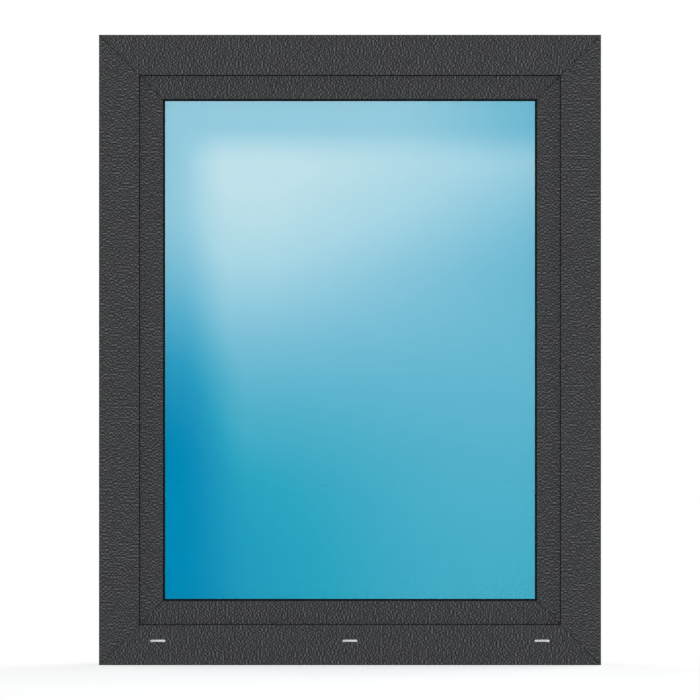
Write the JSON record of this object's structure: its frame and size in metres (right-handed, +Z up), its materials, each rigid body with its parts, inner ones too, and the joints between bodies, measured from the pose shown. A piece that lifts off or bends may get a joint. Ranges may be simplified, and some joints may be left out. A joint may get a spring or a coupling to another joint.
{
  "type": "window",
  "caption": "Upright casement window of dark grey grained plastic profiles: mitred outer frame with capped drain slots, a sash with insulating glass, black seals, handle and hinges inside.",
  "frame": {"origin": "middle of the underside of the outer frame, at half the frame's depth", "axes": "+X to the right as seen from outside, +Y from outside towards the room, +Z up"},
  "size_m": [0.9, 0.1401, 1.13],
  "materials": {
    "grained_foil": "grained foil, satin",
    "black_rubber": "matt",
    "outer_glass": "clear, blue sky tint",
    "inner_glass": "clear",
    "zinc_coated_steel": "zinc coated",
    "setting_block_plastic": "moulded",
    "spacer_metal": "mill",
    "edge_sealant": "matt",
    "drain_cap_plastic": "satin",
    "satin_metal": "satin anodised"
  },
  "bodies": {
    "root": {"frame_head": "grained_foil", "frame_sill": "grained_foil", "frame_jamb_left": "grained_foil", "frame_jamb_right": "grained_foil", "sash_top_rail": "grained_foil", "sash_bottom_rail": "grained_foil", "sash_stile_left": "grained_foil", "sash_stile_right": "grained_foil", "glazing_bead_top": "grained_foil", "glazing_bead_bottom": "grained_foil", "glazing_bead_left": "grained_foil", "glazing_bead_right": "grained_foil", "frame_seal": "black_rubber", "sash_seal": "black_rubber", "glazing_seal": "black_rubber", "bead_seal": "black_rubber", "outer_pane": "outer_glass", "inner_pane": "inner_glass", "frame_steel_bottom": "zinc_coated_steel", "frame_steel_top": "zinc_coated_steel", "frame_steel_left": "zinc_coated_steel", "frame_steel_right": "zinc_coated_steel", "sash_steel_bottom": "zinc_coated_steel", "sash_steel_top": "zinc_coated_steel", "sash_steel_left": "zinc_coated_steel", "sash_steel_right": "zinc_coated_steel", "setting_block_bottom_left": "setting_block_plastic", "setting_block_bottom_right": "setting_block_plastic", "setting_block_top_left": "setting_block_plastic", "setting_block_top_right": "setting_block_plastic", "spacer_bar": "spacer_metal", "edge_seal": "edge_sealant", "drain_cap_left": "drain_cap_plastic", "drain_cap_centre": "drain_cap_plastic", "drain_cap_right": "drain_cap_plastic", "handle_rosette": "satin_metal", "handle_lever": "satin_metal", "hinge_top_bearing": "satin_metal", "hinge_top_arm": "satin_metal", "hinge_bottom_bearing": "satin_metal", "hinge_bottom_arm": "satin_metal"}
  },
  "joints": []
}
